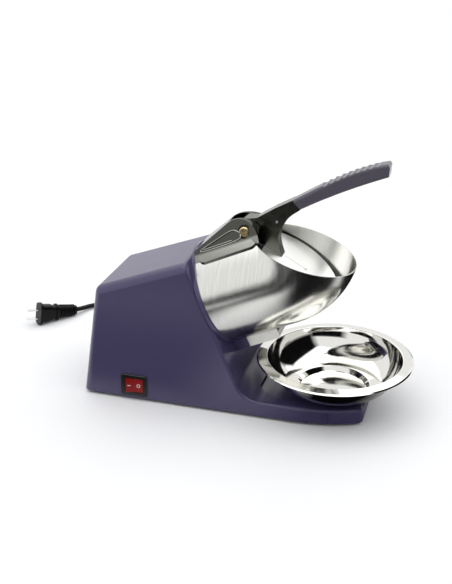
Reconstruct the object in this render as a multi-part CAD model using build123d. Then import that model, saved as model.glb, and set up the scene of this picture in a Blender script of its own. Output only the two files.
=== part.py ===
from build123d import *
import math
import os

# Electric ice shaver: a moulded ABS housing with a nose platform, a tilted stainless hopper closed by a
# lever-worked press plate, a two-blade disc on the motor shaft, an ice hood and a lift-out bowl.
# Millimetres. X runs from the heel to the nose, Z up from the table, Y = 0 is the plane of symmetry.

# ---- Housing ----
wall = 2.6                  # moulded wall
bodyHalfWidth = 64.8        # half the width at the table
sideLean = 2.8              # degrees each side leans in
heelX = 1.3                 # heel at table level
heelLean = 7.7              # degrees the back leans forward
heelTopZ = 136.8            # sharp corner of back and roof
roofSlope = 20.6            # degrees the roof climbs to the front
noseX = 340.0
noseHalfWidth = 46.0
noseCorner = 9.0
roofRound = 11.0            # heel, back corners and roof sides
edgeRound = 3.5             # front face and platform edges
noseTaperX = 262.0          # where the sides begin to close towards the nose
platformTop = 20.5
shellBottom = 3.6           # lower edge of the shell, over the feet
frontBlend = 30.0           # hollow blend between front face and platform
trayDepth = 2.5
trayRearX = 256.0           # centre of the round rear end of the tray
trayRadius = 49.0
trayMargin = 9.0            # land between the tray and the nose sides

# ---- Hopper drum, in its own frame: U along the axis from the joint face, V across, W upwards ----
jointX = 158.6
jointZ = 127.4
drumTilt = 24.5             # degrees the axis climbs to the front
drumRadius = 61.5
drumWall = 1.0
drumStraight = 80.0         # straight length before the bend
bendRadius = 47.5           # centre-line radius of the bent front end
mouthU = 62.6               # where the mouth plane meets the top line
mouthSlope = 15.7           # degrees the mouth falls to the front
collarLength = 4.5          # housing collar that the drum sits on
collarMargin = 1.5

# ---- Cutting gear on the drum axis ----
discInset = 15.5            # disc inside the drum's radius
discThick = 3.0
discGap = 0.8
chamberWall = 2.6
chamberDepth = 25.0
chamberFlange = 4.0
shaftRadius = 4.0
bearingRadius = 11.0
bearingWidth = 7.0
runClearance = 0.05         # running fits, on the radius
fitGap = 0.3                # between neighbouring pieces
motorRadius = 33.0
motorLength = 62.0
bellDepth = 9.0
fanRadius = 27.0
fanDepth = 7.0
backWall = 3.0
bellFace = 4.0
bellLap = 2.0               # depth of the can in each bell
motorScrewCircle = 20.0
motorScrewRadius = 1.7
armatureRadius = 20.4
shaftTip = 7.0
sealWidth = 3.0
bladeAngles = (0, 180)
bladeStart = 14.0           # blades, from the axis outwards
bladeInset = 4.0            # outer ends inside the disc's edge
bladeEdge = 1.0             # cutting edge across the disc
bladeBack = 13.0
bladeRise = 0.4             # blades proud of the disc
bladeThick = 1.6
bladeScrewRadius = 1.6
bladeScrewV = 8.0
bladeScrewPlaces = (21.0, 35.0)
paddleHeight = 8.0

# ---- Ice outlet ----
outletHalf = 20.8           # half width inside the spout
spoutWall = 1.6
spoutReach = 13.0           # moulded spout, from the joint face
spoutDrop = 8.5             # underside of the spout below the drum
hoodLength = 53.0           # steel hood, from the joint face
hoodWall = 1.0
hoodScrew = 1.5
hoodScrewU = 9.0
hoodScrewV = 13.0

# ---- Lever ----
pivotU = 66.0
pivotRise = 2.5             # pivot above the top line of the drum
boltRadius = 3.0
bracketFootAngle = 36.0     # degrees from the top line to the foot of each cheek
bracketTopHalf = 14.0       # half width over the tops of the cheeks
bracketHeight = 15.5        # cheek tops above the top line
slotHalf = 9.8              # slot for the lever hub
plateOffset = 8.0           # press plate below the pivot
plateGap = 3.5              # between press plate and drum wall
plateThick = 1.2
plateDrop = 29.4            # degrees the resting plate falls to the front
plateReach = 65.0           # pivot to the middle of the plate
armHalf = 8.0
gripHalf = 9.0
bracketRound = 26.7         # round front end of the bracket
footThick = 2.4             # foot flange
rivetRadius = 1.5
rivetStations = (18.0, 58.0)
rivetAngles = (-38.3, 38.3)
boltSeat = 22.5             # bolt seats, from the middle
pocketDepth = 1.0
hubRadius = 11.0
scallops = 9
scallopRadius = 5.5
plateHeel = 27.0            # straight rear edge of the plate, from the pivot
plateRivetPlaces = (31.0, 45.0)

# ---- Bowl ----
bowlX = 297.0
bowlRim = 91.3
bowlHeight = 42.0
bowlWall = 0.9
bowlWell = 39.5             # outer radius of the sunk centre

# ---- Underside ----
basePlateZ = 3.6
basePlateThick = 2.4
postRadius = 4.5
postHole = 1.6
postTop = 24.0
postInset = 10.8            # post centres inside the side walls
nosePostInset = 6.0
postStations = (45.0, 150.0)
nosePostX = 300.0
footRadius = 8.0
footStem = 3.0
footScrewSink = 1.6
footScrew = 1.5
footStations = ((30.0, 14.8), (276.0, 12.8))     # each X, and inset from the side
baseScrewLength = 10.0
footScrewLength = 5.5
baseVentRows = 7
baseVentX = 60.0
baseVentPitch = 9.0
baseVentWidth = 44.0
ventRows = 6
ventLow = 52.0
ventPitch = 8.0
ventWidth = 44.0
ventHeight = 3.0

# ---- Switch, cord and plug ----
switchX = 68.5
switchZ = 19.6
bezelHalf = 16.4
bezelHigh = 13.4
bezelThick = 1.8
switchBodyHalf = 13.6
switchBodyHigh = 10.6
switchDepth = 22.0
rockerRadius = 12.0
rockerHigh = 8.8
rockerPivot = 3.0           # pivot behind the wall face
rockerTilt = 8.0            # degrees to each side
rockerVee = 7.0             # slope of its two faces
cordRadius = 3.2
cordExitX = 35.0
cordExitZ = 21.9
cordDroop = 9.0             # degrees the cord falls as it leaves
glandLength = 24.0
glandNeck = 5.5
coilX = -2.0
coilY = 135.0
coilRadius = 36.0           # middle of the turns
coilTurns = 2               # turns side by side, and layers
plugFace = (-134.8, 93.2, 16.0)
plugRear = (-98.0, 138.0, 7.5)

heelRearX = heelX + shellBottom * math.tan(math.radians(heelLean))
frameX = -(heelRearX + bowlX + bowlRim) / 2      # middle of the whole machine comes to X = 0
discRadius = drumRadius - discInset
bladeEnd = discRadius - bladeInset
spoutLow = drumRadius + spoutDrop    # from the drum axis
tilt = math.radians(drumTilt)
drumPlane = Plane(
    origin=(jointX, 0, jointZ),
    x_dir=(math.cos(tilt), 0, math.sin(tilt)),
    z_dir=(-math.sin(tilt), 0, math.cos(tilt)),
)
drumFrame = drumPlane.location
postRows = [(x, bodyHalfWidth - postInset) for x in postStations]
postRows.append((nosePostX, noseHalfWidth - nosePostInset))
postPlaces = [(x, side * y) for x, y in postRows for side in (-1, 1)]
footRows = [(x, bodyHalfWidth - inset) for x, inset in footStations]
footPlaces = [(x, side * y) for x, y in footRows for side in (-1, 1)]
pivotW = drumRadius + pivotRise
drumInner = drumRadius - drumWall
frontWallU = -collarLength           # outer side of the front wall
frontInnerU = frontWallU - wall      # its inner side
wellZ = platformTop - trayDepth      # floor of the tray
chamberOuter = discRadius + discGap + chamberWall
drumScrewCircle = (chamberOuter + drumRadius) / 2 - 0.9
drumScrewHole = 2.0
fourAngles = (45, 135, 225, 315)
motorStart = -(chamberDepth + backWall) - bellDepth
motorEnd = motorStart - motorLength
fanStart = motorEnd - bellDepth - 1.5
shaftEnd = fanStart - fanDepth - 1.5
hoodTop = drumRadius + fitGap        # hood roof, from the drum axis
outletHigh = hoodTop + hoodWall
outletLow = spoutLow - spoutWall


# ---- Shared helpers ----
def rod(radius, start, end, v=0.0, w=0.0):
    """A bar along the X or U axis."""
    return Pos((start + end) / 2, v, w) * Rot(0, 90, 0) * Cylinder(radius, end - start)


def pipe(outer, inner, start, end, v=0.0, w=0.0):
    return rod(outer, start, end, v, w) - rod(inner, start - 1, end + 1, v, w)


def crossRod(radius, half, x=0.0, z=0.0):
    """A bar along Y, centred on Y = 0."""
    return Pos(x, 0, z) * Rot(90, 0, 0) * Cylinder(radius, 2 * half)


def block(low, high):
    size = [b - a for a, b in zip(low, high)]
    middle = [(a + b) / 2 for a, b in zip(low, high)]
    return Pos(*middle) * Box(*size)


def slab(outline, half):
    """A closed outline in the XZ plane, thickened to both sides of Y = 0."""
    return extrude(Plane.XZ * outline, amount=half, both=True)


def polygon(points):
    return make_face(Polyline(*points, close=True))


def meet(first, second):
    """Crossing of two lines, each given as (x, z, angle in degrees)."""
    x1, z1, a1 = first
    x2, z2, a2 = second
    c1, s1 = math.cos(math.radians(a1)), math.sin(math.radians(a1))
    c2, s2 = math.cos(math.radians(a2)), math.sin(math.radians(a2))
    along = ((x2 - x1) * s2 - (z2 - z1) * c2) / (c1 * s2 - s1 * c2)
    return (x1 + along * c1, z1 + along * s1)


def screw(headRadius, headHeight, radius, length):
    """Pan-head screw pointing down from Z = 0, head on top, with a cross slot."""
    body = Pos(0, 0, headHeight / 2) * Cylinder(headRadius, headHeight)
    body = fillet(body.faces().sort_by(Axis.Z)[-1].edges(), headHeight * 0.4)
    body += Pos(0, 0, -length / 2) * Cylinder(radius, length)
    slot = Pos(0, 0, headHeight) * Box(headRadius * 1.1, headRadius * 0.28, headHeight * 0.8)
    return body - slot - Rot(0, 0, 90) * slot


# ---- Housing shell ----
def halfWidthAt(z):
    return bodyHalfWidth - z * math.tan(math.radians(sideLean))


def sideOutline(inset):
    """Side view of the housing, drawn in by inset."""
    lean = math.radians(heelLean)
    roof = math.radians(roofSlope)
    back = (heelX + inset / math.cos(lean), 0.0, 90 - heelLean)
    backTop = meet((heelX, 0.0, 90 - heelLean), (0.0, heelTopZ, 0.0))
    top = (backTop[0], backTop[1] - inset / math.cos(roof), roofSlope)
    face = (
        jointX - (collarLength + inset) * math.cos(tilt),
        jointZ - (collarLength + inset) * math.sin(tilt),
        90 + drumTilt,
    )
    deck = platformTop - inset - (trayDepth if inset else 0.0)
    floor = shellBottom - (1.0 if inset else 0.0)
    corners = [
        meet(back, (0, floor, 0)),
        meet(back, top),
        meet(top, face),
        meet(face, (0, deck, 0)),
        (noseX - inset, deck),
        (noseX - inset, floor),
    ]
    outline = polygon(corners)
    radii = [(1, roofRound - inset), (3, frontBlend + inset)]
    for index, radius in radii:
        corner = min(
            outline.vertices(),
            key=lambda v: (v.X - corners[index][0]) ** 2 + (v.Y - corners[index][1]) ** 2,
        )
        outline = fillet(corner, radius)
    return outline


def planOutline(inset, corner):
    """Plan of the housing: parallel sides that close in an arc to a blunt nose."""
    half = bodyHalfWidth - inset
    nose = noseHalfWidth - inset
    tip = noseX - inset
    lines = [
        TangentArc((noseTaperX, half), (tip, nose), tangent=(1, 0)),
        Polyline((tip, nose), (tip, -nose)),
        TangentArc((noseTaperX, -half), (tip, -nose), tangent=(1, 0)),
        Polyline((noseTaperX, -half), (-30, -half), (-30, half), (noseTaperX, half)),
    ]
    outline = make_face([edge for line in lines for edge in line.edges()])
    return fillet(outline.vertices().group_by(Axis.X)[-1], corner)


def bodyForm(inset):
    """The housing's outer form, or the space inside it."""
    side = slab(sideOutline(inset), bodyHalfWidth + 10)
    height = heelTopZ + 80
    drawnIn = height * math.tan(math.radians(sideLean))
    corner = noseCorner - inset
    plan = loft([planOutline(inset, corner), Pos(0, 0, height) * planOutline(inset + drawnIn, corner)])
    form = side & plan
    upright = [e for e in form.edges() if heelX < e.center().X < heelX + 20 and e.length > heelTopZ * 0.8]
    heelEdges = [e for e in upright if abs(e.center().Y) > bodyHalfWidth * 0.8]
    return fillet(heelEdges, roofRound - inset)


def outerForm():
    form = bodyForm(0)
    frontTop = form.edges().filter_by(Axis.Y).sort_by(Axis.Z)[-1]
    return fillet(frontTop, edgeRound)


def trayOutline():
    """Tray for the bowl: round at the back, open at the nose."""
    front = noseX + 2
    frontHalf = noseHalfWidth - trayMargin - 4
    back = ThreePointArc((trayRearX, trayRadius), (trayRearX - trayRadius, 0), (trayRearX, -trayRadius))
    sides = [
        TangentArc((trayRearX, side * trayRadius), (front, side * frontHalf), tangent=(1, 0))
        for side in (1, -1)
    ]
    nose = Line((front, frontHalf), (front, -frontHalf))
    return make_face([edge for line in (back, *sides, nose) for edge in line.edges()])


def screwPost(x, y, top):
    """Screw post on the inside of the shell, tied to the near wall by a web."""
    side = math.copysign(1, y)
    low = basePlateZ + basePlateThick
    post = Pos(x, y, (low + top) / 2) * Cylinder(postRadius, top - low)
    reach = halfWidthAt(top) - wall * 0.5
    web = block((x - wall / 2, min(y, side * reach), low), (x + wall / 2, max(y, side * reach), top))
    hole = Pos(x, y, low) * Cylinder(postHole, 2 * (top - low) - 4)
    return post + web - hole


def makeHousing():
    shell = outerForm() - bodyForm(wall)
    tray = extrude(Pos(0, 0, wellZ) * trayOutline(), amount=trayDepth + 1, dir=(0, 0, 1))
    shell -= tray
    for x, y in postPlaces:
        shell += screwPost(x, y, wellZ - wall + 0.5 if x > trayRearX else postTop)
    # Collar for the drum and the bore behind it
    collar = drumFrame * pipe(drumRadius + collarMargin, chamberOuter + fitGap, frontInnerU + 0.2, 0)
    collar &= drumFrame * rod(drumRadius + collarMargin, frontWallU, 0) + outerForm()
    shell += collar
    shell -= drumFrame * rod(chamberOuter + fitGap, frontInnerU - 2, 1)
    # Spout for the ice, open above to the drum
    spoutHalf = outletHalf + spoutWall
    spout = block((frontWallU - 1, -spoutHalf, -spoutLow), (spoutReach, spoutHalf, -drumRadius * 0.9))
    spout -= block((frontWallU - 2, -outletHalf, -outletLow), (spoutReach + 1, outletHalf, 0))
    spout -= rod(drumRadius + fitGap, 0, spoutReach + 1)
    shell += drumFrame * (spout - rod(drumRadius + collarMargin, frontWallU - 2, 0))
    window = block((frontInnerU - 3, -outletHalf, -outletLow), (0.0, outletHalf, -outletHigh))
    shell -= drumFrame * window
    for side in (1, -1):
        shell -= drumFrame * Pos(hoodScrewU, side * hoodScrewV, -spoutLow) * Cylinder(hoodScrew + 0.1, 6)
    for angle in fourAngles:
        shell -= drumFrame * (Rot(angle, 0, 0) * rod(drumScrewHole, frontInnerU - 5, 1, 0, drumScrewCircle))
    shell -= switchPlane() * Box(2 * (switchBodyHalf + 0.2), 2 * (switchBodyHigh + 0.2), 20)
    shell -= glandFrame() * Cylinder(glandNeck, 20)
    for row in range(ventRows):
        z = ventLow + row * ventPitch
        x = heelX + z * math.tan(math.radians(heelLean))
        shell -= Pos(x, 0, z) * Box(4 * wall, ventWidth, ventHeight)
    return shell


# ---- Base plate and feet ----
def makeBasePlate():
    inset = wall + fitGap + 0.5
    outline = planOutline(inset, noseCorner - wall)
    plate = extrude(Pos(0, 0, basePlateZ) * outline, amount=basePlateThick, dir=(0, 0, 1))
    heel = heelX + wall + 1.5
    within = block((heel, -bodyHalfWidth + inset, 0), (noseX, bodyHalfWidth - inset, platformTop))
    within = fillet(within.edges().filter_by(Axis.Z).group_by(Axis.X)[0], roofRound)
    plate &= within
    for x, y in postPlaces:
        plate -= Pos(x, y, basePlateZ) * Cylinder(postHole + 0.4, 3 * basePlateThick)
    for x, y in footPlaces:
        plate -= Pos(x, y, basePlateZ) * Cylinder(footStem + 0.1, 3 * basePlateThick)
    for row in range(baseVentRows):
        x = baseVentX + row * baseVentPitch
        plate -= Pos(x, 0, basePlateZ) * Box(ventHeight, baseVentWidth, 3 * basePlateThick)
    rim = extrude(Pos(0, 0, basePlateZ + basePlateThick) * outline, amount=3.0, dir=(0, 0, 1))
    inside = planOutline(inset + wall, noseCorner - 2 * wall)
    rim -= extrude(Pos(0, 0, basePlateZ) * inside, amount=12, dir=(0, 0, 1))
    rim &= block((heel + 14, -bodyHalfWidth, 0), (noseX - 20, bodyHalfWidth, platformTop))
    for x, y in postPlaces:
        rim -= Pos(x, y, basePlateZ) * Cylinder(postRadius + 1.2, 30)
        rim -= block((x - 4, -bodyHalfWidth, 0), (x + 4, bodyHalfWidth, platformTop))
    rim -= switchPlane() * Box(2 * switchBodyHalf + 4, 60, 60)
    return plate + rim


def makeFeet():
    feet = []
    for x, y in footPlaces:
        foot = Pos(x, y, basePlateZ / 2) * Cone(footRadius - 0.8, footRadius, basePlateZ)
        foot -= Pos(x, y, 0) * Cylinder(footRadius * 0.45, 2 * footScrewSink)
        foot += Pos(x, y, basePlateZ + basePlateThick / 2) * Cylinder(footStem, basePlateThick)
        foot -= Pos(x, y, basePlateZ) * Cylinder(footScrew + fitGap / 3, 20)
        feet.append(foot)
    return Compound(children=[f for foot in feet for f in foot.solids()])


def underScrews(places, start, headRadius, radius, length):
    """Screws driven upwards from below, heads down."""
    bolt = Rot(180, 0, 0) * screw(headRadius, 1.4, radius, length)
    return Compound(children=[s for x, y in places for s in (Pos(x, y, start) * bolt).solids()])


# ---- Drum ----
def drumForm(radius, start):
    """Straight tube that bends up at the front, as one closed form."""
    form = rod(radius, start, drumStraight)
    bendStart = Plane(origin=(drumStraight, 0, 0), x_dir=(0, 1, 0), z_dir=(1, 0, 0))
    section = bendStart * (Circle(radius) & Pos(0, bendRadius - 100) * Rectangle(4 * radius, 200))
    bendAxis = Axis((drumStraight, 0, bendRadius), (0, -1, 0))
    return form + revolve(section, bendAxis, 130)


def mouthCut(lift=0.0):
    """Everything above the mouth plane."""
    fall = mouthSlope + drumTilt
    size = 4 * drumRadius
    above = Pos(size / 2, 0, size / 2 + lift) * Box(3 * size, 2 * size, size)
    return Pos(mouthU, 0, drumRadius) * Rot(0, fall, 0) * above


def makeDrum():
    drum = drumForm(drumRadius, 0) - drumForm(drumInner, drumWall)
    drum -= mouthCut()
    drum -= rod(discRadius + discGap, -1, 2 * drumWall)
    drum -= block((pivotU - hubRadius - 1, -slotHalf, drumRadius / 2), (2 * pivotU, slotHalf, 2 * drumRadius))
    for angle in fourAngles:
        drum -= Rot(angle, 0, 0) * rod(drumScrewHole, -1, 2 * drumWall, 0, drumScrewCircle)
    for at in rivetPlaces():
        drum -= at * Pos(0, 0, drumRadius) * Cylinder(rivetRadius, 8)
    return drumFrame * drum


def makeDrumScrews():
    length = drumWall + collarLength + wall + chamberFlange * 0.8
    bolt = Rot(0, 90, 0) * screw(4.0, 2.0, drumScrewHole - 0.1, length)
    bolts = [Rot(a, 0, 0) * Pos(drumWall, 0, drumScrewCircle) * bolt for a in fourAngles]
    return drumFrame * Compound(children=[s for b in bolts for s in b.solids()])


# ---- Cutting chamber, motor and rotor ----
def makeChamber():
    back = -chamberDepth - backWall
    cup = rod(chamberOuter, back, 0) - rod(discRadius + discGap, -chamberDepth, 1)
    flangeStart = frontInnerU - chamberFlange
    flangeHalf = discRadius + 6
    flange = block((flangeStart, -flangeHalf, -flangeHalf), (frontInnerU, flangeHalf, flangeHalf))
    flange = fillet(flange.edges().filter_by(Axis.X), 8) & rod(drumScrewCircle + 6, -60, 1)
    flange -= rod(discRadius + discGap, -60, 1)
    chute = Plane.XZ * polygon(
        [
            (back, 6 - discRadius),
            (back, -discRadius - 8),
            (frontInnerU, -outletLow - 2.5),
            (frontInnerU, -discRadius),
        ]
    )
    spout = extrude(chute, amount=outletHalf + chamberWall, both=True)
    throat = Plane.XZ * polygon(
        [
            (-chamberDepth, 8 - discRadius),
            (-chamberDepth, -discRadius - 7),
            (frontInnerU + 1, -outletLow),
            (frontInnerU + 1, -outletHigh),
            (frontInnerU - chamberFlange, -outletHigh),
            (frontInnerU - chamberFlange, 8 - discRadius),
        ]
    )
    casting = cup + flange + spout
    casting += rod(bearingRadius + 3, -chamberDepth - 1, -chamberDepth + bearingWidth + sealWidth)
    casting -= extrude(throat, amount=outletHalf - 1, both=True)
    casting -= rod(bearingRadius, -chamberDepth, 1)
    casting -= rod(shaftRadius + 2, back - 1, 0)
    for angle in fourAngles:
        casting -= Rot(angle, 0, 0) * rod(drumScrewHole - 0.1, back, 0, 0, drumScrewCircle)
    for angle in fourAngles:
        casting -= Rot(angle, 0, 0) * rod(motorScrewRadius, back - 1, back + 8, 0, motorScrewCircle)
    return drumFrame * casting


def makeBearing(start):
    bearing = pipe(bearingRadius, shaftRadius + runClearance, start, start + bearingWidth)
    groove = pipe(bearingRadius - 2.2, shaftRadius + 2.2, start - 1, start + 0.8)
    return drumFrame * (bearing - groove - Pos(bearingWidth + 0.4, 0, 0) * groove)


def makeSeal():
    start = -chamberDepth + bearingWidth
    seal = pipe(bearingRadius, shaftRadius + runClearance, start, start + sealWidth)
    return drumFrame * seal


def makeMotorCan():
    can = pipe(motorRadius, motorRadius - 1.6, motorEnd - bellLap, motorStart + bellLap)
    for angle in range(0, 360, 60):
        slot = Rot(angle, 0, 0) * Pos(motorStart - motorLength / 2, 0, motorRadius) * Box(18, 9, 12)
        can -= fillet(slot.edges().filter_by(Axis.Z), 3) if angle == 0 else slot
    return drumFrame * can


def makeStator():
    start = motorStart - motorLength * 0.8
    end = motorStart - motorLength * 0.2
    ring = pipe(motorRadius - 1.6, armatureRadius + 0.7, start, end)
    for angle in (0, 180):
        ring -= Rot(angle + 90, 0, 0) * Pos((start + end) / 2, 0, armatureRadius + 4) * Box(100, 16, 5)
    return drumFrame * ring


def makeFrontBell():
    bell = rod(motorRadius + 1.4, motorStart, motorStart + bellDepth)
    bell -= rod(motorRadius, motorStart - 1, motorStart + bellLap)
    bell -= rod(motorRadius - 5, motorStart - 1, motorStart + bellDepth - bellFace)
    bell -= rod(shaftRadius + 2, motorStart - 1, motorStart + bellDepth + 1)
    for angle in fourAngles:
        bell -= Rot(angle, 0, 0) * rod(
            motorScrewRadius + 0.2, motorStart - 1, motorStart + bellDepth + 1, 0, motorScrewCircle
        )
    return drumFrame * bell


def makeRearBell():
    end = motorEnd
    bell = rod(motorRadius + 1.4, end - bellDepth, end) - rod(motorRadius, end - bellLap, end + 1)
    bell -= rod(motorRadius - 5, end - bellDepth + 3, end + 1)
    bell += rod(bearingRadius + 3, end - bellDepth, end)
    bell -= rod(bearingRadius, end - bearingWidth, end + 1)
    bell -= rod(shaftRadius + 2, end - bellDepth - 1, end)
    for angle in range(0, 360, 45):
        vent = Rot(angle, 0, 0) * Pos(end - bellDepth, 0, motorRadius - 12) * Box(12, 6, 9)
        bell -= vent
    return drumFrame * bell


def makeMotorScrews():
    bolt = Rot(0, -90, 0) * screw(3.4, 1.8, motorScrewRadius, bellFace + backWall - 0.4)
    start = motorStart + bellDepth - bellFace
    bolts = [Rot(a, 0, 0) * Pos(start, 0, motorScrewCircle) * bolt for a in fourAngles]
    return drumFrame * Compound(children=[s for b in bolts for s in b.solids()])


def makeShaft():
    shaft = rod(shaftRadius, shaftEnd, shaftTip)
    flat = Pos(0, 0, shaftRadius) * Box(4 * discThick, 2 * shaftRadius, 1.2)
    shaft -= flat
    return drumFrame * shaft


def makeArmature():
    start = motorStart - motorLength * 0.78
    end = motorStart - motorLength * 0.22
    core = pipe(armatureRadius, shaftRadius, start, end)
    for angle in range(0, 360, 30):
        core -= Rot(angle, 0, 0) * Pos((start + end) / 2, 0, armatureRadius) * Box(80, 2.2, 5)
    return drumFrame * core


def makeFan():
    end = fanStart
    hub = pipe(8, shaftRadius, end - fanDepth, end)
    web = pipe(fanRadius, shaftRadius, end - 1.6, end)
    fan = hub + web
    for angle in range(0, 360, 36):
        blade = Pos(end - fanDepth / 2, 0, (fanRadius + 7) / 2) * Rot(0, 0, 0) * Box(
            fanDepth, 1.4, fanRadius - 8.5
        )
        fan += Rot(angle, 0, 0) * (blade & rod(fanRadius, -400, 0))
    return drumFrame * fan


def makeDisc():
    disc = rod(discRadius, -discThick, 0)
    disc += rod(9, -chamberDepth + bearingWidth + sealWidth + 1, -discThick)
    disc -= rod(shaftRadius, -chamberDepth, 1)
    for angle in bladeAngles:
        slot = block((-discThick - 1, -2, bladeStart), (1, bladeEdge, bladeEnd))
        disc -= Rot(angle, 0, 0) * (slot + bladeBlank())
        for w in bladeScrewPlaces:
            disc -= Rot(angle, 0, 0) * rod(bladeScrewRadius, -discThick - 1, 0, bladeScrewV, w)
    return drumFrame * disc


def bladeBlank():
    return block((bladeRise - bladeThick, bladeEdge, bladeStart), (bladeRise, bladeBack, bladeEnd))


def makeBlades():
    blades = []
    for angle in bladeAngles:
        blade = bladeBlank()
        cuttingEdge = blade.edges().filter_by(Axis.Z).group_by(Axis.X)[0].sort_by(Axis.Y)[0]
        blade = chamfer(cuttingEdge, bladeThick * 0.7)
        for w in bladeScrewPlaces:
            blade -= rod(bladeScrewRadius, -10, 10, bladeScrewV, w)
        blades += (drumFrame * Rot(angle, 0, 0) * blade).solids()
    return Compound(children=blades)


def makeBladeScrews():
    bolt = Rot(0, 90, 0) * screw(2.6, 1.4, bladeScrewRadius, discThick + bladeRise - 0.5)
    screws = []
    for angle in bladeAngles:
        for w in bladeScrewPlaces:
            screws += (drumFrame * Rot(angle, 0, 0) * Pos(bladeRise, bladeScrewV, w) * bolt).solids()
    return Compound(children=screws)


def makePaddles():
    """Two upright lugs that carry the ice round over the blades."""
    side = polygon([(0, -5), (0, 5), (1.6, 5), (paddleHeight, 1.2), (paddleHeight, -1.2), (1.6, -5)])
    lug = Pos(0, 0, bladeStart + 2) * extrude(side, amount=bladeEnd - bladeStart - 4, dir=(0, 0, 1))
    lugs = [s for a in bladeAngles for s in (drumFrame * Rot(a + 90, 0, 0) * lug).solids()]
    return Compound(children=lugs)


def makeHubNut():
    hexagon = extrude(Plane.YZ * RegularPolygon(6.5, 6), amount=6, dir=(1, 0, 0))
    dome = Pos(6, 0, 0) * Sphere(5.2) & rod(6, 6, 12)
    nut = hexagon + dome - rod(shaftRadius, -1, shaftTip)
    return drumFrame * nut


# ---- Ice hood under the drum ----
def makeHood():
    """Roof and two sides of sheet, turned down at the front, with feet in the spout."""
    half = outletHalf - fitGap / 2
    hood = block((0.3, -half, -hoodTop - hoodWall), (hoodLength, half, -hoodTop))
    for side in (1, -1):
        inner = side * (half - hoodWall)
        near, far = sorted((inner, side * half))
        hood += block((0.3, near, -outletLow), (spoutReach + 0.5, far, -drumRadius * 0.9))
        hood += block((spoutReach + 0.5, near, -spoutLow), (hoodLength, far, -drumRadius * 0.9))
        tabNear, tabFar = sorted((side * (hoodScrewV - 4), side * half))
        hood += block((3.0, tabNear, -outletLow), (spoutReach - 1, tabFar, -outletLow + hoodWall))
        hood -= Pos(hoodScrewU, side * hoodScrewV, -outletLow) * Cylinder(hoodScrew, 4)
    hood += block((hoodLength - hoodWall, -half, -spoutLow + 2), (hoodLength, half, -hoodTop))
    return drumFrame * (hood - rod(drumRadius + fitGap / 2, -1, 100))


def makeHoodScrews():
    bolt = Rot(180, 0, 0) * screw(2.9, 1.4, hoodScrew, spoutWall + hoodWall + 0.6)
    places = [Pos(hoodScrewU, side * hoodScrewV, -spoutLow) for side in (1, -1)]
    return Compound(children=[s for at in places for s in (drumFrame * at * bolt).solids()])


# ---- Lever bracket ----
def cheekHalf(w):
    """Half width of the bracket outside its cheeks at height w."""
    foot = math.radians(bracketFootAngle)
    footHalf = drumRadius * math.sin(foot)
    footW = drumRadius * math.cos(foot)
    topW = drumRadius + bracketHeight
    return footHalf - (w - footW) * (footHalf - bracketTopHalf) / (topW - footW)


def bracketForm(inset):
    """Saddle between two leaning cheeks, with a climbing back and a round front."""
    low = drumRadius * 0.6
    high = drumRadius + bracketHeight + 12
    tent = [(-cheekHalf(low) + inset * 1.3, low), (-cheekHalf(high) + inset * 1.3, high)]
    section = Plane.YZ * polygon(tent + [(-v, w) for v, w in reversed(tent)])
    prism = extrude(section, amount=200, both=True)
    middle = (pivotU - 11.0, drumRadius - 9.5)
    reach = bracketRound - inset

    def onRound(degrees):
        angle = math.radians(degrees)
        return middle[0] + reach * math.cos(angle), middle[1] + reach * math.sin(angle)

    climb = 90 + 18.8
    back = (0.5 + inset, drumRadius + 0.2 - inset)
    top = onRound(climb)
    tip = onRound(0)
    edges = Line(back, top).edges() + ThreePointArc(top, onRound(climb / 2), tip).edges()
    edges += Polyline(tip, (tip[0], low), (back[0], low), back).edges()
    return prism & slab(make_face(edges), 100)


def makeBracket():
    body = bracketForm(0) - rod(drumRadius, -10, 200)
    hollow = bracketForm(3.0) & block((0, -100, 0), (pivotU - 20, 100, drumRadius + bracketHeight - 3))
    body -= hollow
    flange = pipe(drumRadius + footThick, drumRadius, 5.0, pivotU + 15)
    footHalf = drumRadius * math.sin(math.radians(bracketFootAngle + 5))
    plan = Pos((pivotU + 20) / 2, 0, drumRadius) * Box(pivotU + 10, 2 * footHalf, 60)
    plan = fillet(plan.edges().filter_by(Axis.Z), 9)
    body += (flange & plan) - mouthCut(footThick)
    # Slot for the lever, pocketed cheeks, and bosses for the pivot bolt
    slot = block((pivotU - 18, -slotHalf, 0), (pivotU + 60, slotHalf, 200))
    boss = Pos(pivotU, 0, pivotW) * Rot(90, 0, 0) * Cylinder(7.5, 2 * boltSeat)
    for side in (1, -1):
        body -= cheekPocket(side)
    body += boss - rod(drumRadius, -10, 200)
    body -= slot
    for side in (1, -1):
        seat = Pos(pivotU, side * (boltSeat + 15), pivotW) * Rot(90, 0, 0) * Cylinder(6.4, 30)
        body -= seat
    body -= Pos(pivotU, 0, pivotW) * Rot(90, 0, 0) * Cylinder(boltRadius + runClearance, 200)
    for at in rivetPlaces():
        body -= at * Pos(0, 0, drumRadius) * Cylinder(rivetRadius, 2 * (footThick - 0.5))
    return drumFrame * body


def rivetPlaces():
    return [Pos(u, 0, 0) * Rot(angle, 0, 0) for u in rivetStations for angle in rivetAngles]


def cheekPocket(side):
    """Shallow pocket in the outer face of a cheek, with a rim left round it."""
    lean = math.atan(cheekHalf(0) - cheekHalf(1))
    pocketFoot = drumRadius - 4
    cheek = Plane(
        origin=(0, side * cheekHalf(pocketFoot), pocketFoot),
        x_dir=(1, 0, 0),
        z_dir=(0, side * math.cos(lean), math.sin(lean)),
    )
    corners = [(9, 0.5), (pivotU - 4, 0.5), (pivotU - 4, 10), (pivotU - 13, 16.5), (pivotU - 22, 15.5), (9, 4.5)]
    outline = fillet(polygon([(u, -side * up) for u, up in corners]).vertices(), 1.8)
    return cheek.location * extrude(outline, amount=pocketDepth, both=True)


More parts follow.
